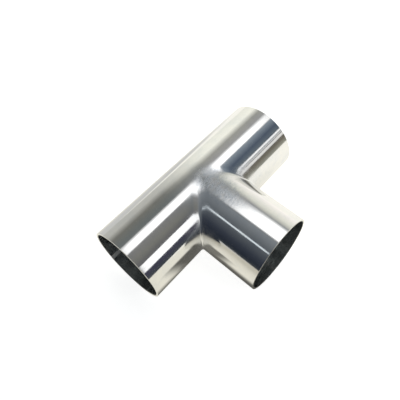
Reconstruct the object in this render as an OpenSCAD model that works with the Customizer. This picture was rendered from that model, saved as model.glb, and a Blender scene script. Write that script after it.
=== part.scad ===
// Equal tee for thin-wall polished stainless tube.
// A straight run tube lies along X, an equal branch tube points towards -Y,
// and the origin is the point where their axes cross. The branch is mitred
// into the run along the planes y = -|x| and welded all round; each tube is
// rolled from strip and closed by its own lengthwise seam weld.

/* [Tube] */
// Outside diameter of all three legs
tube_od = 63.5; // [51:0.5:76.5]
// Wall thickness of the tube
wall = 1.65; // [1.2:0.05:2.5]
// Small chamfer that deburrs the inner and outer edge of each square-cut end
edge_break = 0.15; // [0.05:0.05:0.4]

/* [Lengths] */
// Distance from the crossing of the axes to the end of each leg
centre_to_end = 79.4; // [70:0.1:110]

/* [Branch weld] */
// Width of the fused band between run and branch, across the joint
weld_w = 3.2; // [3:0.1:5]
// Radius of the polished concave blend in the crotch
blend_r = 1.8; // [1:0.1:2]
// Number of weld sections in each half of the saddle
weld_steps = 36; // [24:4:60]
// Number of facets across the concave blend
blend_steps = 5; // [3:1:8]

/* [Seam welds] */
// Width of the fused strip along each tube
seam_w = 3; // [2:0.1:4]
// Height of the seam's root above the bore; the outside is ground flush
seam_proud = 0.1; // [0.05:0.01:0.15]
// Angle of the run tube's seam about +X, from +Y towards +Z
run_seam_angle = -42; // [-60:1:60]
// Angle of the branch tube's seam about -Y, from +X towards +Z
branch_seam_angle = -90; // [-120:1:-60]

/* [Hidden] */
$fn = 96;

ro = tube_od / 2;
ri = ro - wall;
c2e = centre_to_end;
// Offset of the weld band's planes along the row axes: |x| + y = +s and -s
s = weld_w / 2 * sqrt(2);
far = c2e + tube_od;

// Half section of a tube from z0 to z1 in (radius, length), with broken edges
module tube_section(r_in, z0, z1, break0, break1) {
    polygon([
        [r_in + break0, z0], [ro - break0, z0], [ro, z0 + break0],
        [ro, z1 - break1], [ro - break1, z1], [r_in + break1, z1],
        [r_in, z1 - break1], [r_in, z0 + break0]
    ]);
}

// Run along X, both ends deburred
module run_shell(r_in) {
    rotate([0, 90, 0]) rotate_extrude()
        tube_section(r_in, -c2e, c2e, edge_break, edge_break);
}

// Branch along -Y, from the crossing of the axes to its deburred mouth
module branch_shell(r_in) {
    rotate([90, 0, 0]) rotate_extrude()
        tube_section(r_in, -1, c2e, edge_break, edge_break);
}

// Everything on the branch's side of the planes |x| + y = d
module branch_side(d) {
    translate([0, 0, -ro - 2]) linear_extrude(tube_od + 4)
        polygon([[0, d], [far, d - far], [far, -2 * far], [-far, -2 * far], [-far, d - far]]);
}

// Radial slab that holds the seam of a tube lying along X
module run_seam_slab() {
    rotate([run_seam_angle, 0, 0])
        translate([-c2e - 5, ri - 4, -seam_w / 2]) cube([2 * c2e + 10, wall + 8, seam_w]);
}

// The same for the branch, which lies along -Y
module branch_seam_slab() {
    rotate([0, -branch_seam_angle, 0])
        translate([ri - 4, -c2e - 5, -seam_w / 2]) cube([wall + 8, c2e + 10, seam_w]);
}

module run_tube() {
    color([0.80, 0.81, 0.82]) difference() {
        run_shell(ri);
        branch_side(s);
        run_seam_slab();
    }
}

module branch_tube() {
    color([0.77, 0.78, 0.80]) difference() {
        intersection() {
            branch_shell(ri);
            branch_side(-s);
        }
        branch_seam_slab();
    }
}

module run_seam_weld() {
    color([0.66, 0.67, 0.68]) intersection() {
        run_shell(ri - seam_proud);
        run_seam_slab();
    }
}

module branch_seam_weld() {
    color([0.66, 0.67, 0.68]) intersection() {
        branch_shell(ri - seam_proud);
        branch_side(-s);
        branch_seam_slab();
    }
}

// --- Saddle weld -------------------------------------------------------
// A section is a closed loop of points that goes from the run's outer edge,
// over the concave blend, to the branch's outer edge, and back along the
// bores. q is +1 or -1, the side of the YZ plane; u runs from -1 at the
// bottom of the saddle to +1 at its top.

// Point where the band's plane on the run's side meets a cylinder of radius r
function run_edge(q, u, r) = let (a = u * acos(-s / r))
    [q * max(0, s + r * cos(a)), -r * cos(a), r * sin(a)];

// The same on the branch's side
function branch_edge(q, u, r) = let (a = u * 90)
    [q * r * cos(a), -s - r * cos(a), r * sin(a)];

// Point of the mitre line on a cylinder of radius r
function mitre(q, u, r) = let (a = u * 90) [q * r * cos(a), -r * cos(a), r * sin(a)];

// Point t (0 on the run, 1 on the branch) of the arc that a ball of radius
// blend_r touches while it rolls in the crotch
function blend(q, u, t) = let (
        a = u * 90,
        c = cos(a),
        z = sin(a),
        w = acos(min(1, z * z)),
        k0 = sin((1 - t) * w) / sin(w),
        k1 = sin(t * w) / sin(w),
        dir = k0 * [0, c, -z] + k1 * [-q * c, 0, -z])
    (ro + blend_r) * [q * c, -c, z] + blend_r * dir;

// At the very top and bottom the two tubes run into each other smoothly
function crown(u, t) = [0, 0.05 * (1 - 2 * t), ro * sign(u)];

function weld_section(q, u) = concat(
    [run_edge(q, u, ro)],
    [for (i = [0 : blend_steps]) abs(u) > 0.999 ? crown(u, i / blend_steps) : blend(q, u, i / blend_steps)],
    [branch_edge(q, u, ro), branch_edge(q, u, ri), mitre(q, u, ri), run_edge(q, u, ri)]);

module branch_weld() {
    n = weld_steps;
    sections = concat(
        [for (i = [0 : n]) weld_section(1, -1 + 2 * i / n)],
        [for (i = [1 : n - 1]) weld_section(-1, 1 - 2 * i / n)]);
    m = len(sections[0]);
    k = len(sections);
    color([0.70, 0.72, 0.75]) polyhedron(
        points = [for (sec = sections) each sec],
        faces = [for (i = [0 : k - 1], j = [0 : m - 1])
            let (a = i * m + j, b = i * m + (j + 1) % m,
                 c = ((i + 1) % k) * m + j, d = ((i + 1) % k) * m + (j + 1) % m)
            each [[a, b, d], [a, d, c]]]);
}

run_tube();
branch_tube();
branch_weld();
run_seam_weld();
branch_seam_weld();
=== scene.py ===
import math

import bpy
import numpy as np
from mathutils import Matrix, Vector


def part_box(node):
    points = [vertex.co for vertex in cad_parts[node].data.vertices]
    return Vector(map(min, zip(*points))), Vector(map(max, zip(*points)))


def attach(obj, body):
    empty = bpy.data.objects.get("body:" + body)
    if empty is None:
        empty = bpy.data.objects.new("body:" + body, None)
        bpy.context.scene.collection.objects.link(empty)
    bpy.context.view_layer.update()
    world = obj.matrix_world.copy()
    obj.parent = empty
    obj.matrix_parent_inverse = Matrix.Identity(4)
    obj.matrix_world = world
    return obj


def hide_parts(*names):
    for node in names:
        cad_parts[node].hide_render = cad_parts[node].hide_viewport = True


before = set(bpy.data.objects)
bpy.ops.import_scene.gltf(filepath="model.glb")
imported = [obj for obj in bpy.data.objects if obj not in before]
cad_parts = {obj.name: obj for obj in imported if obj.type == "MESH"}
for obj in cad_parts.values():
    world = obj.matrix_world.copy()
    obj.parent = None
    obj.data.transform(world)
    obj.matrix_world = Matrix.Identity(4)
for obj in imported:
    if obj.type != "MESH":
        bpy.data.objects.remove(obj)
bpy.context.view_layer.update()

# ---------------------------------------------------------------- dimensions
# All metres. The outside radius and the legs come from the CAD boxes; the bore is given.
run_lo, run_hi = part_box("run_tube")
br_lo, br_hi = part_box("branch_tube")
C2E = run_hi[0]
RO = run_hi[2]
RI = 0.0301
S = 0.0016 * math.sqrt(2)  # offset of the weld band's planes |x| + y = +-S
RHO = 0.0018  # radius of the polished blend in the crotch
SEAM = 0.0015  # half width of the lengthwise seams
PROUD = 0.0001  # the seam's root stands this far inside the bore
LIP = 0.00017  # rounding of the deburred edges
RUN_SEAM = math.radians(-42)
BR_SEAM = math.radians(-90)


# ------------------------------------------------------------- mesh builder
class Patches:
    """Grids of points with their true surface normals, welded into one closed mesh."""

    def __init__(self):
        self.index, self.verts, self.faces, self.normals = {}, [], [], []

    def _v(self, p):
        key = tuple(int(round(c * 2e7)) for c in p)
        if key not in self.index:
            self.index[key] = len(self.verts)
            self.verts.append(tuple(float(c) for c in p))
        return self.index[key]

    def grid(self, pos, nor):
        """pos, nor: arrays (m, n, 3). Faces are wound to agree with the normals."""
        pos, nor = np.asarray(pos, float), np.asarray(nor, float)
        nor = nor / np.linalg.norm(nor, axis=-1, keepdims=True)
        m, n = pos.shape[:2]
        ids = [[self._v(pos[i, j]) for j in range(n)] for i in range(m)]
        for i in range(m - 1):
            for j in range(n - 1):
                loop = [(i, j), (i + 1, j), (i + 1, j + 1), (i, j + 1)]
                keep, seen = [], set()
                for a, b in loop:
                    k = ids[a][b]
                    if k not in seen:
                        seen.add(k)
                        keep.append((a, b))
                if len(keep) < 3:
                    continue
                p = [pos[a, b] for a, b in keep]
                if len(p) == 4:
                    g = np.cross(p[2] - p[0], p[3] - p[1])
                else:
                    g = np.cross(p[1] - p[0], p[2] - p[0])
                mean = sum(nor[a, b] for a, b in keep)
                if np.dot(g, mean) < 0:
                    keep.reverse()
                self.faces.append([ids[a][b] for a, b in keep])
                self.normals.extend(tuple(nor[a, b]) for a, b in keep)

    def ngon(self, pts, nor):
        """One flat face, wound to agree with its normal."""
        ids, loop = [], []
        for p in pts:
            k = self._v(p)
            if k not in ids:
                ids.append(k)
                loop.append(np.asarray(p, float))
        area = sum(np.cross(loop[i] - loop[0], loop[i + 1] - loop[0]) for i in range(1, len(loop) - 1))
        if np.dot(area, nor) < 0:
            ids.reverse()
        self.faces.append(ids)
        self.normals.extend([tuple(nor)] * len(ids))

    def build(self, name):
        me = bpy.data.meshes.new(name)
        me.from_pydata(self.verts, [], self.faces)
        for p in me.polygons:
            p.use_smooth = True
        me.normals_split_custom_set(self.normals)
        me.update()
        ob = bpy.data.objects.new(name, me)
        bpy.context.scene.collection.objects.link(ob)
        return ob


def lin(a, b, n):
    return np.linspace(a, b, n + 1)


def mouth_profile():
    """(radius, distance short of the end, radial normal, axial normal) over the lip."""
    out = []
    for t in lin(0, math.pi / 2, 4):
        out.append((RO - LIP + LIP * math.cos(t), LIP - LIP * math.sin(t), math.cos(t), math.sin(t)))
    ring = [(RO - LIP, 0, 0, 1), (RI + LIP, 0, 0, 1)]
    inn = []
    for t in lin(0, math.pi / 2, 4):
        inn.append((RI + LIP - LIP * math.sin(t), LIP - LIP * math.cos(t), -math.sin(t), math.cos(t)))
    return [out, ring, inn]


def crown(pos, nor):
    """The grinder blends the joint over a wide band near the crown and the
    bottom, where the two tubes meet at a shallow angle, and over none at the
    sides: the outside normals lean towards the joint's mean direction there."""
    pos, nor = np.asarray(pos, float), np.asarray(nor, float)
    x, y, z = pos[..., 0], pos[..., 1], pos[..., 2]
    q = np.where(x < 0, -1.0, 1.0)
    zz = np.clip(z / RO, -1, 1)
    c = np.sqrt(np.maximum(0, 1 - zz * zz))
    mean = np.stack([q * c / 2, -c / 2, zz], -1)
    mean /= np.linalg.norm(mean, axis=-1, keepdims=True)
    d = np.where(np.abs(x) + y > 0, np.abs(x) - RO * c, -y - RO * c)
    wide = 0.0085 * np.clip(1 - c / 0.92, 0, 1) ** 0.8 + 1e-6
    t = np.clip(np.maximum(d, 0) / wide, 0, 1)
    k = (t * t * (3 - 2 * t))[..., None]
    k = np.where((y < 0)[..., None], k, 1.0)
    out = mean * (1 - k) + nor * k
    return out / np.linalg.norm(out, axis=-1, keepdims=True)


# ------------------------------------------------------------------ run tube
# Angle a about X from +Y towards +Z; point (x, r cos a, r sin a).
def run_p(x, r, a):
    return np.stack(np.broadcast_arrays(x, r * np.cos(a), r * np.sin(a)), -1)


def run_n(a, nx, nr):
    return np.stack(np.broadcast_arrays(nx, nr * np.cos(a), nr * np.sin(a)), -1)


def run_start(r, a):
    """|x| where the run's material begins at angle a."""
    return np.maximum(0, S - r * np.cos(a))


def run_columns():
    """Column angles for each radius, from one side of the seam round to the other. The
    mitred stretch and the two ridge points share column numbers at every radius."""

    def at(r):
        half = math.asin(SEAM / r)
        ridge = math.acos(S / r)
        a0 = RUN_SEAM + half
        a3 = RUN_SEAM - half + 2 * math.pi
        one = lin(a0, ridge, 96)
        # dense towards the ridge, where the mitre line turns
        t = lin(-1, 1, 160)
        two = math.pi + (t * 0.5 + 0.5 * np.sin(t * math.pi / 2)) * (math.pi - ridge)
        three = lin(2 * math.pi - ridge, a3, 40)
        return np.concatenate([one, two[1:], three[1:]])

    return at


def make_run():
    P = Patches()
    at = run_columns()
    ao, ai = at(RO), at(RI)
    wall = [0.0, 0.08, 0.2, 0.4, 0.6, 0.8, 0.93, 1.0]
    for q in (1, -1):
        for r, a, sgn in ((RO, ao, 1), (RI, ai, -1)):
            x0 = run_start(r, a)
            x1 = C2E - LIP
            xs = np.stack([q * (x0 + (x1 - x0) * t) for t in wall])
            aa = np.broadcast_to(a, xs.shape)
            pos, nor = run_p(xs, r, aa), run_n(aa, 0 * aa, sgn + 0 * aa)
            P.grid(pos, crown(pos, nor) if sgn > 0 else nor)
        # the lip; the columns' angles slide from the outer to the inner set
        for part in mouth_profile():
            pos, nor = [], []
            for r, d, nr, na in part:
                k = (RO - r) / (RO - RI)
                a = ao + (ai - ao) * k
                pos.append(run_p(np.full_like(a, q * (C2E - d)), r, a))
                nor.append(run_n(a, np.full_like(a, q * na), np.full_like(a, nr)))
            P.grid(pos, nor)
        # mitre wall, ruled from the outer to the inner edge
        m = (run_start(RO, ao) > 1e-9) | (run_start(RI, ai) > 1e-9)
        k = np.where(m)[0]
        k = np.arange(k[0] - 1, k[-1] + 2)
        po = run_p(q * run_start(RO, ao[k]), RO, ao[k])
        pi = run_p(q * run_start(RI, ai[k]), RI, ai[k])
        n = np.broadcast_to(np.array([-q, -1.0, 0.0]), po.shape)
        P.grid([po, pi], [n, n])
        # seam walls
        for e, side in ((0, -1), (-1, 1)):
            t_n = np.array([0, -math.sin(RUN_SEAM), math.cos(RUN_SEAM)]) * side
            rows_o = [run_p(q * (run_start(RO, ao[e]) + (C2E - LIP - run_start(RO, ao[e])) * t), RO, ao[e]) for t in wall]
            rows_i = [run_p(q * (run_start(RI, ai[e]) + (C2E - LIP - run_start(RI, ai[e])) * t), RI, ai[e]) for t in wall]
            nn = np.broadcast_to(t_n, (len(wall), 3))
            P.grid([rows_o, rows_i], [nn, nn])
            # between the lip's profile and the seam wall's last line
            ring = [pt for part in mouth_profile() for pt in part]
            edge = []
            for r, d, _, _ in ring:
                kk = (RO - r) / (RO - RI)
                edge.append(run_p(q * (C2E - d), r, ao[e] + (ai[e] - ao[e]) * kk))
            P.ngon(edge, t_n)
    return P.build("run_tube_shell")


# --------------------------------------------------------------- branch tube
# Angle a about Y from +X towards +Z; point (r cos a, y, r sin a).
def br_p(y, r, a):
    return np.stack(np.broadcast_arrays(r * np.cos(a), y, r * np.sin(a)), -1)


def br_n(a, ny, nr):
    return np.stack(np.broadcast_arrays(nr * np.cos(a), ny, nr * np.sin(a)), -1)


def make_branch():
    P = Patches()

    def at(r):
        half = math.asin(SEAM / r)
        t = lin(-1, 1, 320)
        return math.pi / 2 + t * (math.pi - half)

    ao, ai = at(RO), at(RI)
    wall = [0.0, 0.08, 0.2, 0.4, 0.6, 0.8, 0.93, 1.0]

    def start(r, a):
        return -S - r * np.abs(np.cos(a))

    y1 = -(C2E - LIP)
    for r, a, sgn in ((RO, ao, 1), (RI, ai, -1)):
        y0 = start(r, a)
        ys = np.stack([y0 + (y1 - y0) * t for t in wall])
        aa = np.broadcast_to(a, ys.shape)
        pos, nor = br_p(ys, r, aa), br_n(aa, 0 * aa, sgn + 0 * aa)
        P.grid(pos, crown(pos, nor) if sgn > 0 else nor)
    for part in mouth_profile():
        pos, nor = [], []
        for r, d, nr, na in part:
            k = (RO - r) / (RO - RI)
            a = ao + (ai - ao) * k
            pos.append(br_p(np.full_like(a, -(C2E - d)), r, a))
            nor.append(br_n(a, np.full_like(a, -na), np.full_like(a, nr)))
        P.grid(pos, nor)
    po, pi = br_p(start(RO, ao), RO, ao), br_p(start(RI, ai), RI, ai)
    n = np.stack([np.sign(np.cos(ao)), np.ones_like(ao), 0 * ao], -1)
    n[np.abs(np.cos(ao)) < 1e-6, 0] = 0
    P.grid([po, pi], [n, n])
    for e, side in ((0, -1), (-1, 1)):
        t_n = np.array([-math.sin(BR_SEAM), 0, math.cos(BR_SEAM)]) * side
        rows = []
        for r, a in ((RO, ao[e]), (RI, ai[e])):
            y0 = start(r, a)
            rows.append([br_p(y0 + (y1 - y0) * t, r, a) for t in wall])
        nn = np.broadcast_to(t_n, (len(wall), 3))
        P.grid(rows, [nn, nn])
        ring = [pt for part in mouth_profile() for pt in part]
        edge = []
        for r, d, _, _ in ring:
            kk = (RO - r) / (RO - RI)
            edge.append(br_p(-(C2E - d), r, ao[e] + (ai[e] - ao[e]) * kk))
        P.ngon(edge, t_n)
    return P.build("branch_tube_shell")


# --------------------------------------------------------------- saddle weld
def make_weld():
    P = Patches()
    NU = 200
    u = np.sin(lin(-1, 1, NU) * math.pi / 2) * 0.35 + lin(-1, 1, NU) * 0.65
    u[0], u[-1] = -1.0, 1.0
    a = u * math.pi / 2
    c, z = np.cos(a), np.sin(a)
    c[0] = c[-1] = 0.0
    z[0], z[-1] = -1.0, 1.0

    for q in (1, -1):
        # strip on the run's cylinder, angle measured from -Y
        b = u * math.acos(-S / RO)
        rows, nors = [], []
        for t in lin(0, 1, 4):
            ang = b + (a - b) * t
            x_edge = np.maximum(0, S + RO * np.cos(b))
            x_edge[0] = x_edge[-1] = 0
            x = x_edge + ((RO + RHO) * c - x_edge) * t
            rows.append(np.stack([q * x, -RO * np.cos(ang), RO * np.sin(ang)], -1))
            nors.append(np.stack([0 * x, -np.cos(ang), np.sin(ang)], -1))
        rows[-1] = np.stack([q * (RO + RHO) * c, -RO * c, RO * z], -1)
        P.grid(rows, crown(rows, nors))
        # rolled blend
        w = np.arccos(np.clip(z * z, -1, 1))
        rows, nors = [], []
        for t in lin(0, 1, 12):
            ok = w > 1e-6
            sw = np.where(ok, np.sin(w), 1)
            k0 = np.where(ok, np.sin((1 - t) * w) / sw, 1 - t)
            k1 = np.where(ok, np.sin(t * w) / sw, t)
            d = np.stack([-q * c * k1, c * k0, -z * (k0 + k1)], -1)
            ctr = (RO + RHO) * np.stack([q * c, -c, z], -1)
            p = ctr + RHO * d
            p[0], p[-1] = (0, 0, -RO), (0, 0, RO)
            d[0], d[-1] = (0, 0, 1), (0, 0, -1)
            rows.append(p)
            mean = np.stack([q * c / 2, -c / 2, z], -1)
            mean /= np.linalg.norm(mean, axis=-1, keepdims=True)
            wide = 0.0085 * np.clip(1 - c / 0.92, 0, 1) ** 0.8 + 1e-6
            k = np.clip(RHO * c * abs(1 - 2 * t) / wide, 0, 1)[:, None]
            k = k * k * (3 - 2 * k)
            nors.append(mean * (1 - k) - d * k)
        rows[0] = np.stack([q * (RO + RHO) * c, -RO * c, RO * z], -1)
        rows[-1] = np.stack([q * RO * c, -(RO + RHO) * c, RO * z], -1)
        P.grid(rows, nors)
        # strip on the branch's cylinder
        rows, nors = [], []
        for t in lin(0, 1, 2):
            y = -(RO + RHO) * c + (-S - RO * c + (RO + RHO) * c) * t
            rows.append(np.stack([q * RO * c, y, RO * z], -1))
            nors.append(np.stack([q * c, 0 * c, z], -1))
        P.grid(rows, crown(rows, nors))
        # wall on the branch's side
        po = np.stack([q * RO * c, -S - RO * c, RO * z], -1)
        pi = np.stack([q * RI * c, -S - RI * c, RI * z], -1)
        n = np.broadcast_to(np.array([-q, -1.0, 0.0]), po.shape)
        P.grid([po, pi], [n, n])
        # bores
        rows, nors = [], []
        for t in lin(0, 1, 3):
            y = (-S - RI * c) * (1 - t) + (-RI * c) * t
            rows.append(np.stack([q * RI * c, y, RI * z], -1))
            nors.append(np.stack([-q * c, 0 * c, -z], -1))
        P.grid(rows, nors)
        b = u * math.acos(-S / RI)
        rows, nors = [], []
        for t in lin(0, 1, 3):
            ang = a + (b - a) * t
            x_edge = np.maximum(0, S + RI * np.cos(b))
            x_edge[0] = x_edge[-1] = 0
            x = RI * c * (1 - t) + x_edge * t
            rows.append(np.stack([q * x, -RI * np.cos(ang), RI * np.sin(ang)], -1))
            nors.append(np.stack([0 * x, np.cos(ang), -np.sin(ang)], -1))
        rows[0] = np.stack([q * RI * c, -RI * c, RI * z], -1)
        P.grid(rows, nors)
        # wall on the run's side
        bo, bi = u * math.acos(-S / RO), u * math.acos(-S / RI)
        xo, xi = np.maximum(0, S + RO * np.cos(bo)), np.maximum(0, S + RI * np.cos(bi))
        xo[0] = xo[-1] = xi[0] = xi[-1] = 0
        po = np.stack([q * xo, -RO * np.cos(bo), RO * np.sin(bo)], -1)
        pi = np.stack([q * xi, -RI * np.cos(bi), RI * np.sin(bi)], -1)
        n = np.broadcast_to(np.array([q, 1.0, 0.0]), po.shape)
        P.grid([pi, po], [n, n])
    return P.build("branch_weld_saddle")


# --------------------------------------------------------------- seam strips
def make_seam(name, point, normal, ends, angle, ripple_seed):
    """A strip through the wall: flush outside, a low rippled root inside.
    ends(k) gives the strip's start and end along the axis at angle offset k."""
    P = Patches()
    # across: outer arc, then back over the root
    NO, NI = 12, 12  # equal, so that the end fans meet both arcs point for point
    ho, hi = math.asin(SEAM / RO), math.asin(SEAM / RI)
    outer = [(RO, t, 1, 0) for t in lin(-ho, ho, NO)]
    L0 = 200
    ts = lin(0, 1, L0)
    rng = np.random.RandomState(ripple_seed)
    wob = np.zeros(L0 + 1)
    for f in (3, 7, 13, 29):
        wob += np.sin(ts * f * 2 * math.pi + rng.uniform(0, 6.28)) / f ** 0.5
    wob = 0.82 + 0.09 * wob / np.abs(wob).max() + 0.06 * np.sin(ts * 2 * math.pi * 62)
    wob[0] = wob[-1] = 0.75
    inner = []
    for t in lin(hi, -hi, NI):
        x = t / hi
        inner.append((t, max(0.0, 1 - x ** 4), 0.10 * 4 * x ** 3))
    # body between the lips
    for grid_kind in ("outer", "inner"):
        rows, nors = [], []
        if grid_kind == "outer":
            for r, t, _, _ in outer:
                s0, s1 = ends(RO, angle + t)
                ax = s0 + (s1 - s0) * ts
                rows.append(point(ax, np.full_like(ax, RO), angle + t))
                nors.append(normal(np.full_like(ax, angle + t), 0 * ax, 1 + 0 * ax))
        else:
            for t, h, tilt in inner:
                s0, s1 = ends(RI, angle + t)
                ax = s0 + (s1 - s0) * ts
                r = RI - PROUD * 0.9 * h * wob
                rows.append(point(ax, r, angle + t))
                # the root's slope across: dr/ds with the strip's width
                slope = 4 * (t / hi) ** 3 * PROUD * 0.9 / SEAM
                nors.append(normal(np.full_like(ax, angle + t + math.atan(slope) * 1.0), 0 * ax, -1 + 0 * ax))
        P.grid(rows, nors)
    # long sides
    for sgn in (1, -1):
        s0, s1 = ends(RO, angle + sgn * ho)
        ax = s0 + (s1 - s0) * ts
        a_ = point(ax, np.full_like(ax, RO), angle + sgn * ho)
        s0, s1 = ends(RI, angle + sgn * hi)
        ax = s0 + (s1 - s0) * ts
        b_ = point(ax, np.full_like(ax, RI), angle + sgn * hi)
        n = normal(np.full_like(ax, angle + sgn * math.pi / 2), 0 * ax, 1 + 0 * ax)
        P.grid([a_, b_], [n, n])
    # ends: a fan of strips between the outer and the inner edge lines
    for e in (0, -1):
        o_line = []
        i_line = []
        for t in lin(-1, 1, NI):
            s = ends(RO, angle + t * ho)
            o_line.append(point(np.array([s[0] if e == 0 else s[1]]), np.array([RO]), angle + t * ho)[0])
            s = ends(RI, angle + t * hi)
            x = t
            r = RI - PROUD * 0.9 * max(0.0, 1 - x ** 4) * wob[e]
            i_line.append(point(np.array([s[0] if e == 0 else s[1]]), np.array([r]), angle + t * hi)[0])
        d = point(np.array([1.0]), np.array([0.0]), angle)[0]
        s = ends(RO, angle)
        sg = (1 if s[1] > s[0] else -1) * (1 if e == -1 else -1)
        n = np.broadcast_to(d * sg, (NI + 1, 3))
        P.grid([o_line, i_line], [n, n])
    return P


def run_seam():
    e = C2E - 0.00005
    return make_seam("run_seam", run_p, run_n, lambda r, a: (-e, e), RUN_SEAM, 5)


def branch_seam():
    return make_seam(
        "branch_seam",
        br_p,
        br_n,
        lambda r, a: (-S - r * abs(math.cos(a)), -(C2E - 0.00005)),
        BR_SEAM,
        11,
    )


run = make_run()
branch = make_branch()
weld = make_weld()
rseam = run_seam().build("run_seam_strip")
bseam = branch_seam().build("branch_seam_strip")

for ob, node, slot in (
    (run, "run_tube", "polished_tube"),
    (branch, "branch_tube", "polished_tube"),
    (weld, "branch_weld", "blended_weld"),
    (rseam, "run_seam_weld", "seam_weld"),
    (bseam, "branch_seam_weld", "seam_weld"),
):
    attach(ob, "root")
    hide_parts(node)


# ------------------------------------------------------------------ materials
class Nodes:
    def __init__(self, name):
        self.mat = bpy.data.materials.new(name)
        self.mat.use_nodes = True
        self.t = self.mat.node_tree
        self.t.nodes.clear()

    def add(self, kind, **props):
        n = self.t.nodes.new(kind)
        for k, v in props.items():
            setattr(n, k, v)
        return n

    def link(self, a, b):
        self.t.links.new(a, b)

    def math(self, op, a, b=None, c=None, clamp=False):
        n = self.add("ShaderNodeMath", operation=op, use_clamp=clamp)
        for i, v in enumerate((a, b, c)):
            if v is None:
                continue
            if isinstance(v, (int, float)):
                n.inputs[i].default_value = v
            else:
                self.link(v, n.inputs[i])
        return n.outputs[0]

    def noise(self, vec, scale, detail=2.0, rough=0.5):
        n = self.add("ShaderNodeTexNoise")
        n.inputs["Scale"].default_value = scale
        n.inputs["Detail"].default_value = detail
        n.inputs["Roughness"].default_value = rough
        self.link(vec, n.inputs["Vector"])
        return n.outputs["Fac"]

    def scaled(self, vec, s):
        n = self.add("ShaderNodeVectorMath", operation="MULTIPLY")
        self.link(vec, n.inputs[0])
        n.inputs[1].default_value = s
        return n.outputs[0]

    def ramp(self, fac, stops):
        n = self.add("ShaderNodeValToRGB")
        el = n.color_ramp.elements
        while len(el) > 1:
            el.remove(el[-1])
        el[0].position, el[0].color = stops[0][0], (*stops[0][1], 1)
        for p, col in stops[1:]:
            e = el.new(p)
            e.color = (*col, 1)
        self.link(fac, n.inputs[0])
        return n.outputs[0]

    def range(self, v, a, b, lo, hi, smooth=False):
        n = self.add("ShaderNodeMapRange")
        n.interpolation_type = "SMOOTHSTEP" if smooth else "LINEAR"
        n.inputs["From Min"].default_value = a
        n.inputs["From Max"].default_value = b
        n.inputs["To Min"].default_value = lo
        n.inputs["To Max"].default_value = hi
        if isinstance(v, (int, float)):
            n.inputs["Value"].default_value = v
        else:
            self.link(v, n.inputs["Value"])
        return n.outputs[0]


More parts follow.
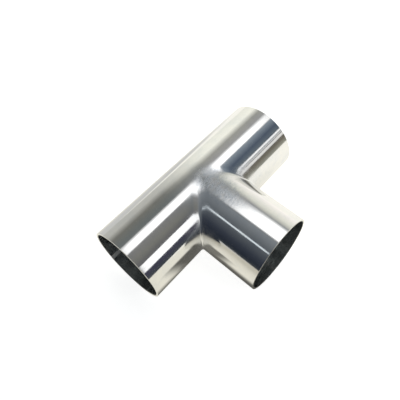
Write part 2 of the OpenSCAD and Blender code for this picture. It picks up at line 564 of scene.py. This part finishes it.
def steel(name, axis, base=(0.80, 0.80, 0.79), rough=0.075, haze=0.15, inside=0.11, seam=False, root=0.8):
    """Mirror-polished stainless tube. Fine polishing lines run round the tube
    (across `axis`), the polish is hazier near the branch weld, and the bore
    keeps the duller finish of the mill, with its colour darkened and cooled as painted shade."""
    N = Nodes(name)
    out = N.add("ShaderNodeOutputMaterial")
    bsdf = N.add("ShaderNodeBsdfPrincipled")
    N.link(bsdf.outputs[0], out.inputs[0])
    geo = N.add("ShaderNodeNewGeometry")
    co = N.add("ShaderNodeTexCoord").outputs["Object"]
    sep = N.add("ShaderNodeSeparateXYZ")
    N.link(co, sep.inputs[0])
    X, Y, Z = sep.outputs
    # distance to the mitre planes, the branch weld's lines on the surface
    ax = N.math("ABSOLUTE", X)
    band = N.math("ABSOLUTE", N.math("MULTIPLY", N.math("ADD", ax, Y), 0.7071))
    # radius about the piece's own axis tells the bore from the outside
    if axis == "x":
        rad = N.math("POWER", N.math("ADD", N.math("MULTIPLY", Y, Y), N.math("MULTIPLY", Z, Z)), 0.5)
        inner = N.range(rad, RI + 0.0004, RI + 0.0008, 1, 0)
    elif axis == "y":
        rad = N.math("POWER", N.math("ADD", N.math("MULTIPLY", X, X), N.math("MULTIPLY", Z, Z)), 0.5)
        inner = N.range(rad, RI + 0.0004, RI + 0.0008, 1, 0)
    else:
        r1 = N.math("POWER", N.math("ADD", N.math("MULTIPLY", Y, Y), N.math("MULTIPLY", Z, Z)), 0.5)
        r2 = N.math("POWER", N.math("ADD", N.math("MULTIPLY", X, X), N.math("MULTIPLY", Z, Z)), 0.5)
        rad = N.math("MAXIMUM", r1, r2)
        inner = N.range(rad, RI + 0.0004, RI + 0.0010, 1, 0)
    # fine polishing lines: noise squeezed along the axis, long round the tube
    long, short = 14.0, 2600.0
    if axis == "x":
        sc = (short, long * 3, long * 3)
    elif axis == "y":
        sc = (long * 3, short, long * 3)
    else:
        sc = (520.0, 520.0, 520.0)
    fine = N.noise(N.scaled(co, sc), 1.0, 3.0, 0.6)
    coarse = N.noise(N.scaled(co, tuple(v * 0.12 if v > 100 else v for v in sc)), 1.0, 2.0, 0.55)
    cloud = N.noise(co, 85.0, 4.0, 0.6)
    blot = N.noise(co, 260.0, 3.0, 0.6)
    # lengthwise drawing marks, as left by the tube mill under the polish
    if axis == "x":
        dr = (9.0, 900.0, 900.0)
    elif axis == "y":
        dr = (900.0, 9.0, 900.0)
    else:
        dr = (300.0, 300.0, 300.0)
    draw = N.noise(N.scaled(co, dr), 1.0, 2.0, 0.5)
    near = N.range(band, 0.0, 0.016, 1.0, 0.0, smooth=True)
    near = N.math("MULTIPLY", near, N.range(cloud, 0.35, 0.65, 0.35, 1.0))
    # scuffed haze over the crown, where the grinder crossed the joint; the same mask darkens and cools the
    # colour there as painted shade
    dist = N.add("ShaderNodeVectorMath", operation="DISTANCE")
    N.link(N.scaled(co, (1.7, 0.8, 1.0)), dist.inputs[0])
    dist.inputs[1].default_value = (0.003, -0.0155, RO)
    haze_c = N.range(dist.outputs["Value"], 0.010, 0.025, 1.0, 0.0, smooth=True)
    swirl = N.noise(N.scaled(co, (260.0, 420.0, 420.0)), 1.0, 3.0, 0.7)
    scuff_and_painted_shade = N.math("MULTIPLY", haze_c, N.range(swirl, 0.34, 0.62, 0.25, 1.0))
    speck = N.noise(co, 1100.0, 2.0, 0.6)
    # roughness
    r0 = N.math("ADD", rough * 0.5, N.math("MULTIPLY", fine, rough * 0.6))
    r0 = N.math("ADD", r0, N.math("MULTIPLY", N.range(cloud, 0.35, 0.75, 0.0, 1.0), rough * 0.5))
    r0 = N.math("ADD", r0, N.math("MULTIPLY", N.range(speck, 0.4, 0.7, 0.0, 1.0), 0.03))
    r0 = N.math("ADD", r0, N.math("MULTIPLY", near, haze))
    r0 = N.math("ADD", r0, N.math("MULTIPLY", scuff_and_painted_shade, 0.20))
    r0 = N.math("ADD", r0, N.math("MULTIPLY", inner, inside))
    N.link(N.math("MINIMUM", r0, 0.75), bsdf.inputs["Roughness"])
    # colour: faint warm and cool clouds, a light heat tint by the weld, and painted shade on the scuffed
    # crown and in the bore
    tint = N.ramp(
        N.math(
            "ADD",
            N.math("ADD", N.math("MULTIPLY", cloud, 0.5), N.math("MULTIPLY", blot, 0.25)),
            N.math("MULTIPLY", speck, 0.25),
        ),
        [
            (0.36, tuple(b * k for b, k in zip(base, (0.93, 0.945, 0.965)))),
            (0.50, base),
            (0.64, tuple(b * k for b, k in zip(base, (1.04, 1.035, 1.015)))),
        ],
    )
    mix = N.add("ShaderNodeMix", data_type="RGBA", blend_type="MULTIPLY")
    N.link(N.math("MULTIPLY", near, 0.5), mix.inputs["Factor"])
    N.link(tint, mix.inputs["A"])
    mix.inputs["B"].default_value = (0.86, 0.88, 0.92, 1)
    # painted shade: the scuffed crown's colour is darkened and cooled, standing for the dark reflection there
    mixc = N.add("ShaderNodeMix", data_type="RGBA", blend_type="MULTIPLY")
    N.link(scuff_and_painted_shade, mixc.inputs["Factor"])
    N.link(mix.outputs["Result"], mixc.inputs["A"])
    mixc.inputs["B"].default_value = (0.64, 0.68, 0.73, 1)
    # painted shade: the bore's colour is darkened and cooled, standing for the shade inside the tube
    mix2 = N.add("ShaderNodeMix", data_type="RGBA", blend_type="MULTIPLY")
    N.link(inner, mix2.inputs["Factor"])
    N.link(mixc.outputs["Result"], mix2.inputs["A"])
    mix2.inputs["B"].default_value = (0.75, 0.78, 0.80, 1)
    N.link(mix2.outputs["Result"], bsdf.inputs["Base Color"])
    bsdf.inputs["Metallic"].default_value = 1.0
    # bump, in micrometres: polishing lines, drawing marks, shallow waviness,
    # and the uneven grinding beside the weld
    wave = N.noise(co, 150.0, 1.0, 0.4)
    h = N.math("MULTIPLY", fine, 0.25)
    h = N.math("ADD", h, N.math("MULTIPLY", coarse, 0.5))
    h = N.math("ADD", h, N.math("MULTIPLY", draw, 2.0))
    h = N.math("ADD", h, N.math("MULTIPLY", wave, 7.0))
    h = N.math("ADD", h, N.math("MULTIPLY", N.math("MULTIPLY", blot, near), 16.0))
    h = N.math("ADD", h, N.math("MULTIPLY", N.math("MULTIPLY", swirl, scuff_and_painted_shade), 26.0))
    h = N.math("ADD", h, N.math("MULTIPLY", N.math("MULTIPLY", coarse, inner), 5.0))
    h = N.math("ADD", h, N.math("MULTIPLY", N.math("MULTIPLY", blot, inner), 14.0))
    if seam:
        rip = N.noise(N.scaled(co, (900.0, 900.0, 900.0)), 1.0, 2.0, 0.5)
        h = N.math("ADD", h, N.math("MULTIPLY", N.math("MULTIPLY", rip, inner), 14.0))
    if seam:
        mixs = N.add("ShaderNodeMix", data_type="RGBA")
        N.link(inner, mixs.inputs["Factor"])
        N.link(mix2.outputs["Result"], mixs.inputs["A"])
        mixs.inputs["B"].default_value = (root, root, root, 1)
        N.link(mixs.outputs["Result"], bsdf.inputs["Base Color"])
    bump = N.add("ShaderNodeBump")
    bump.inputs["Strength"].default_value = 1.0
    bump.inputs["Distance"].default_value = 0.000001
    N.link(h, bump.inputs["Height"])
    N.link(bump.outputs[0], bsdf.inputs["Normal"])
    return N.mat


run.data.materials.append(steel("steel_run", "x"))
branch.data.materials.append(steel("steel_branch", "y"))
weld.data.materials.append(steel("steel_weld", "w", rough=0.085, haze=0.15))
rseam.data.materials.append(steel("steel_run_seam", "x", inside=0.34, seam=True, root=0.80))
bseam.data.materials.append(steel("steel_branch_seam", "y", inside=0.16, seam=True, root=0.60))

# --------------------------------------------------------------------- camera
ROWS = (
    (0.65139, -0.758741, -0.001753),
    (-0.635559, -0.544372, -0.547471),
    (0.414434, 0.357731, -0.836823),
)
cam_data = bpy.data.cameras.new("camera")
cam = bpy.data.objects.new("camera", cam_data)
bpy.context.scene.collection.objects.link(cam)
cam_data.sensor_width = 36.0
cam_data.lens = 38.53
cam_data.shift_x = -0.05
cam_data.shift_y = -0.05
cam_data.clip_start, cam_data.clip_end = 0.01, 20
right, down, fwd = (Vector(r) for r in ROWS)
m = Matrix((right, -down, -fwd)).transposed().to_4x4()
m.translation = Vector((-0.124980, -0.129661, 0.296064))
cam.matrix_world = m
bpy.context.scene.camera = cam

# --------------------------------------------------------------------- studio
FLOOR_Z = -RO


def emit(name, color, strength):
    N = Nodes(name)
    out = N.add("ShaderNodeOutputMaterial")
    e = N.add("ShaderNodeEmission")
    e.inputs[0].default_value = (*color, 1)
    e.inputs[1].default_value = strength
    N.link(e.outputs[0], out.inputs[0])
    return N.mat


def quad(name, corners, mat, camera=False):
    me = bpy.data.meshes.new(name)
    me.from_pydata([tuple(c) for c in corners], [], [tuple(range(len(corners)))])
    me.materials.append(mat)
    ob = bpy.data.objects.new(name, me)
    bpy.context.scene.collection.objects.link(ob)
    ob.visible_camera = camera
    return ob


def floor():
    N = Nodes("floor_paper")
    out = N.add("ShaderNodeOutputMaterial")
    d = N.add("ShaderNodeBsdfPrincipled")
    co = N.add("ShaderNodeTexCoord").outputs["Object"]
    g = N.noise(co, 400.0, 3.0, 0.6)
    col = N.ramp(g, [(0.3, (0.90, 0.90, 0.89)), (0.7, (0.93, 0.93, 0.92))])
    N.link(col, d.inputs["Base Color"])
    d.inputs["Roughness"].default_value = 0.9
    d.inputs["Specular IOR Level"].default_value = 0.1
    d.inputs["Emission Color"].default_value = (1.0, 1.0, 0.995, 1)
    d.inputs["Emission Strength"].default_value = 0.80
    N.link(d.outputs[0], out.inputs[0])
    return quad(
        "floor",
        [(-3, -3, FLOOR_Z), (3, -3, FLOOR_Z), (3, 3, FLOOR_Z), (-3, 3, FLOOR_Z)],
        N.mat,
        camera=True,
    )


floor()

H = 0.38  # distance of the studio's cards; the softbox hangs at twice this


def at(az, el, dist=H):
    a, e = math.radians(az), math.radians(el)
    return Vector((math.cos(a) * math.cos(e), math.sin(a) * math.cos(e), math.sin(e))) * dist


def tone(*c):
    """Radiance that shows as this screen colour after one reflection in the steel."""
    if len(c) == 1:
        c = c * 3
    return tuple(((v / 255 + 0.055) / 1.055) ** 2.4 / 0.80 for v in c)


def dome():
    """A round tent of soft light with darker and lighter sides. Only the steel
    and the floor see it. `turn` is an angle about X from +Y over the top to -Y,
    `roll` an angle about Y from +X over the top to -X."""
    N = Nodes("tent")
    out = N.add("ShaderNodeOutputMaterial")
    e = N.add("ShaderNodeEmission")
    N.link(e.outputs[0], out.inputs[0])
    co = N.add("ShaderNodeTexCoord").outputs["Object"]
    nrm = N.add("ShaderNodeVectorMath", operation="NORMALIZE")
    N.link(co, nrm.inputs[0])
    sep = N.add("ShaderNodeSeparateXYZ")
    N.link(nrm.outputs[0], sep.inputs[0])
    X, Y, Z = sep.outputs
    zp = N.math("MAXIMUM", Z, 0.0)
    turn = N.math("DIVIDE", N.math("ARCTAN2", zp, Y), math.pi)
    roll = N.math("DIVIDE", N.math("ARCTAN2", zp, X), math.pi)

    def stops(*pairs):
        return [(p / 180, tone(*c)) for p, c in pairs]

    near = N.ramp(turn, stops(*TURN_NEAR))
    far = N.ramp(turn, stops(*TURN_FAR))
    side = N.ramp(roll, stops(*ROLL))
    m1 = N.add("ShaderNodeMix", data_type="RGBA")
    N.link(N.range(X, 0.24, 0.46, 0, 1, smooth=True), m1.inputs["Factor"])
    N.link(near, m1.inputs["A"])
    N.link(far, m1.inputs["B"])
    m2 = N.add("ShaderNodeMix", data_type="RGBA")
    wr = N.range(X, 0.66, 0.78, 0, 1, smooth=True)
    wr = N.math("MULTIPLY", wr, N.range(Y, -0.42, -0.14, 0, 1, True))
    wl = N.range(X, 0.04, -0.08, 0, 1, smooth=True)
    N.link(N.math("MAXIMUM", wr, wl), m2.inputs["Factor"])
    N.link(m1.outputs["Result"], m2.inputs["A"])
    N.link(side, m2.inputs["B"])
    N.link(m2.outputs["Result"], e.inputs[0])
    e.inputs[1].default_value = 1.0
    R = 1.05
    lo = math.degrees(math.asin(FLOOR_Z / R))
    verts, faces, nu, nv = [], [], 64, 20
    for j in range(nv):
        for i in range(nu):
            verts.append(tuple(at(360 * i / nu, lo + (90 - lo) * j / nv, R)))
    verts.append((0, 0, R))
    for j in range(nv - 1):
        for i in range(nu):
            k = (i + 1) % nu
            faces.append((j * nu + i, j * nu + k, (j + 1) * nu + k, (j + 1) * nu + i))
    for i in range(nu):
        faces.append(((nv - 1) * nu + i, (nv - 1) * nu + (i + 1) % nu, nv * nu))
    me = bpy.data.meshes.new("tent")
    me.from_pydata(verts, [], faces)
    N.mat.cycles.emission_sampling = "NONE"
    me.materials.append(N.mat)
    ob = bpy.data.objects.new("tent", me)
    bpy.context.scene.collection.objects.link(ob)
    ob.visible_camera = False


# tones of the tent: angle in degrees, screen colour after reflection
TURN_NEAR = (
    (0, (180, 180, 175)),
    (20, (175, 175, 170)),
    (40, (110, 110, 105)),
    (65, (100, 105, 105)),
    (100, (120, 120, 120)),
    (120, (115, 115, 110)),
    (132, (100, 100, 100)),
    (165, (60, 60, 75)),
    (180, (60, 65, 70)),
)
TURN_FAR = (
    (0, (230, 230, 220)),
    (32, (240, 240, 230)),
    (52, (150, 150, 145)),
    (70, (150, 150, 150)),
    (100, (125, 135, 145)),
    (119, (75, 85, 100)),
    (131, (90, 100, 110)),
    (165, (105, 100, 90)),
    (180, (140, 140, 130)),
)
ROLL = (
    (0, (250, 245, 240)),
    (30, (215, 215, 205)),
    (45, (165, 165, 160)),
    (94, (120, 125, 130)),
    (120, (90, 95, 100)),
    (155, (50, 55, 65)),
    (172, (35, 40, 50)),
    (180, (50, 55, 60)),
)
dome()

# overhead softbox; its diffuser is dimmer towards the edges
def softbox_mat(x0, x1, y0, y1, lo, hi):
    N = Nodes("softbox_top")
    out = N.add("ShaderNodeOutputMaterial")
    e = N.add("ShaderNodeEmission")
    co = N.add("ShaderNodeTexCoord").outputs["Object"]
    sep = N.add("ShaderNodeSeparateXYZ")
    N.link(co, sep.inputs[0])
    X, Y, _ = sep.outputs
    mx = N.math("MULTIPLY", N.range(X, x0, x0 + 0.07, 0, 1, True), N.range(X, x1, x1 - 0.24, 0, 1, True))
    my = N.math("MULTIPLY", N.range(Y, y0, y0 + 0.05, 0, 1, True), N.range(Y, y1, y1 - 0.13, 0, 1, True))
    N.link(N.range(N.math("MULTIPLY", mx, my), 0, 1, lo, hi), e.inputs[1])
    e.inputs[0].default_value = (0.985, 0.99, 1.0, 1)
    N.link(e.outputs[0], out.inputs[0])
    return N.mat


BOX = (0.004, 0.70, -0.092, 0.245)
quad(
    "softbox_top",
    [(BOX[0], BOX[2], 2 * H), (BOX[1], BOX[2], 2 * H), (BOX[1], BOX[3], 2 * H), (BOX[0], BOX[3], 2 * H)],
    softbox_mat(*BOX, 0.62, 1.75),
)


def sheet():
    """A glowing sheet that paints the steel's reflection of the table it stands on:
    cream, with painted shadow beneath and beside the object on the -X and -Y sides
    and painted light, greyer towards +Y. Only reflections see it; the camera sees the plain floor."""
    N = Nodes("painted_table_reflection")
    out = N.add("ShaderNodeOutputMaterial")
    e = N.add("ShaderNodeEmission")
    N.link(e.outputs[0], out.inputs[0])
    co = N.add("ShaderNodeTexCoord").outputs["Object"]
    sep = N.add("ShaderNodeSeparateXYZ")
    N.link(N.scaled(co, (1 / RO, 1 / RO, 1 / RO)), sep.inputs[0])
    X, Y, _ = sep.outputs
    mul = lambda a, b: N.math("MULTIPLY", a, b)
    # painted shadow beside the run (only its -X leg) and beside the branch (-X side)
    left = N.range(X, 0.3, 1.2, 1, 0, True)
    v = mul(N.range(Y, -1.0, -1.65, 1, 0, True), N.range(Y, 1.4, 2.2, 1, 0, True))
    v = mul(v, N.range(X, -2.7, -2.4, 0, 1, True))
    u = mul(N.range(X, -1.95, -1.25, 0, 1, True), N.range(Y, -3.5, -2.8, 0, 1, True))
    u = mul(u, N.range(Y, 1.0, 1.4, 1, 0, True))
    corner = mul(N.range(X, -1.9, -1.4, 0, 1, True), N.range(Y, -1.9, -1.4, 0, 1, True))
    corner = mul(corner, N.range(Y, -0.9, -0.4, 1, 0, True))
    shade = N.math("MAXIMUM", mul(v, 0.78), mul(u, 0.86))
    shade = N.math("MAXIMUM", shade, mul(corner, 0.8))
    shade = mul(shade, left)
    # painted light: the +Y side is greyer towards -X
    back = mul(N.range(Y, 1.2, 4.5, 0, 1, True), N.range(X, 2.2, 5.0, 1, 0, True))
    # painted light: the -X side is a little darker and more tan, the +X side brighter
    west = N.range(X, -1.0, -8.0, 0, 1, True)
    east = N.range(X, 0.5, 4.0, 0, 1, True)
    m0 = N.add("ShaderNodeMix", data_type="RGBA")
    N.link(east, m0.inputs["Factor"])
    m0.inputs["A"].default_value = (0.93, 0.90, 0.79, 1)
    m0.inputs["B"].default_value = (1.13, 1.11, 1.03, 1)
    m1 = N.add("ShaderNodeMix", data_type="RGBA")
    N.link(west, m1.inputs["Factor"])
    N.link(m0.outputs["Result"], m1.inputs["A"])
    m1.inputs["B"].default_value = (0.62, 0.59, 0.50, 1)
    m2 = N.add("ShaderNodeMix", data_type="RGBA")
    N.link(back, m2.inputs["Factor"])
    N.link(m1.outputs["Result"], m2.inputs["A"])
    m2.inputs["B"].default_value = (0.66, 0.66, 0.645, 1)
    N.link(m2.outputs["Result"], e.inputs[0])
    # painted shadow: the sheet's glow is dimmed where the shade mask lies
    N.link(N.math("SUBTRACT", 1.0, shade), e.inputs[1])
    N.mat.cycles.emission_sampling = "NONE"
    z = FLOOR_Z + 0.0003
    ob = quad("painted_table_reflection", [(-1.2, -1.2, z), (1.2, -1.2, z), (1.2, 1.2, z), (-1.2, 1.2, z)], N.mat)
    ob.visible_diffuse = False
    ob.visible_shadow = False
    return ob


sheet()


def window(name, x0, x1, t0, t1, color, strength, dist=H * 0.9):
    """A flat card that runs along X and leans to face the origin, between two
    angles about X (from +Y over the top)."""
    c = []
    for x, t in ((x0, t0), (x1, t0), (x1, t1), (x0, t1)):
        t = math.radians(t)
        c.append((x, dist * math.cos(t), dist * math.sin(t)))
    return quad(name, c, emit(name, color, strength))


window("window_front", -0.03, 0.17, 138.5, 158.5, (0.985, 0.99, 1.0), 1.4)
window("window_side_a", 0.17, 0.40, 136, 141.5, (0.98, 0.99, 1.0), 1.15)
window("window_side_b", 0.17, 0.40, 143.5, 147, (0.98, 0.99, 1.0), 0.75)
window("window_side_c", 0.17, 0.40, 149, 157, (1.0, 0.99, 0.97), 0.90)
# thin lamp on the -X side
quad(
    "strip_left",
    [(-0.205, -0.02, 0.30), (-0.225, -0.02, 0.285), (-0.225, 0.14, 0.285), (-0.205, 0.14, 0.30)],
    emit("strip_left", (0.86, 0.94, 1.0), 1.0),
)


world = bpy.data.worlds.new("world")
bpy.context.scene.world = world
world.use_nodes = True
wt = world.node_tree
wt.nodes.clear()
wo = wt.nodes.new("ShaderNodeOutputWorld")
bg = wt.nodes.new("ShaderNodeBackground")
bg.inputs[0].default_value = (1.0, 1.0, 1.0, 1)
bg.inputs[1].default_value = 1.0
wt.links.new(bg.outputs[0], wo.inputs[0])

bpy.context.scene.view_settings.view_transform = "Standard"
bpy.context.scene.view_settings.look = "None"
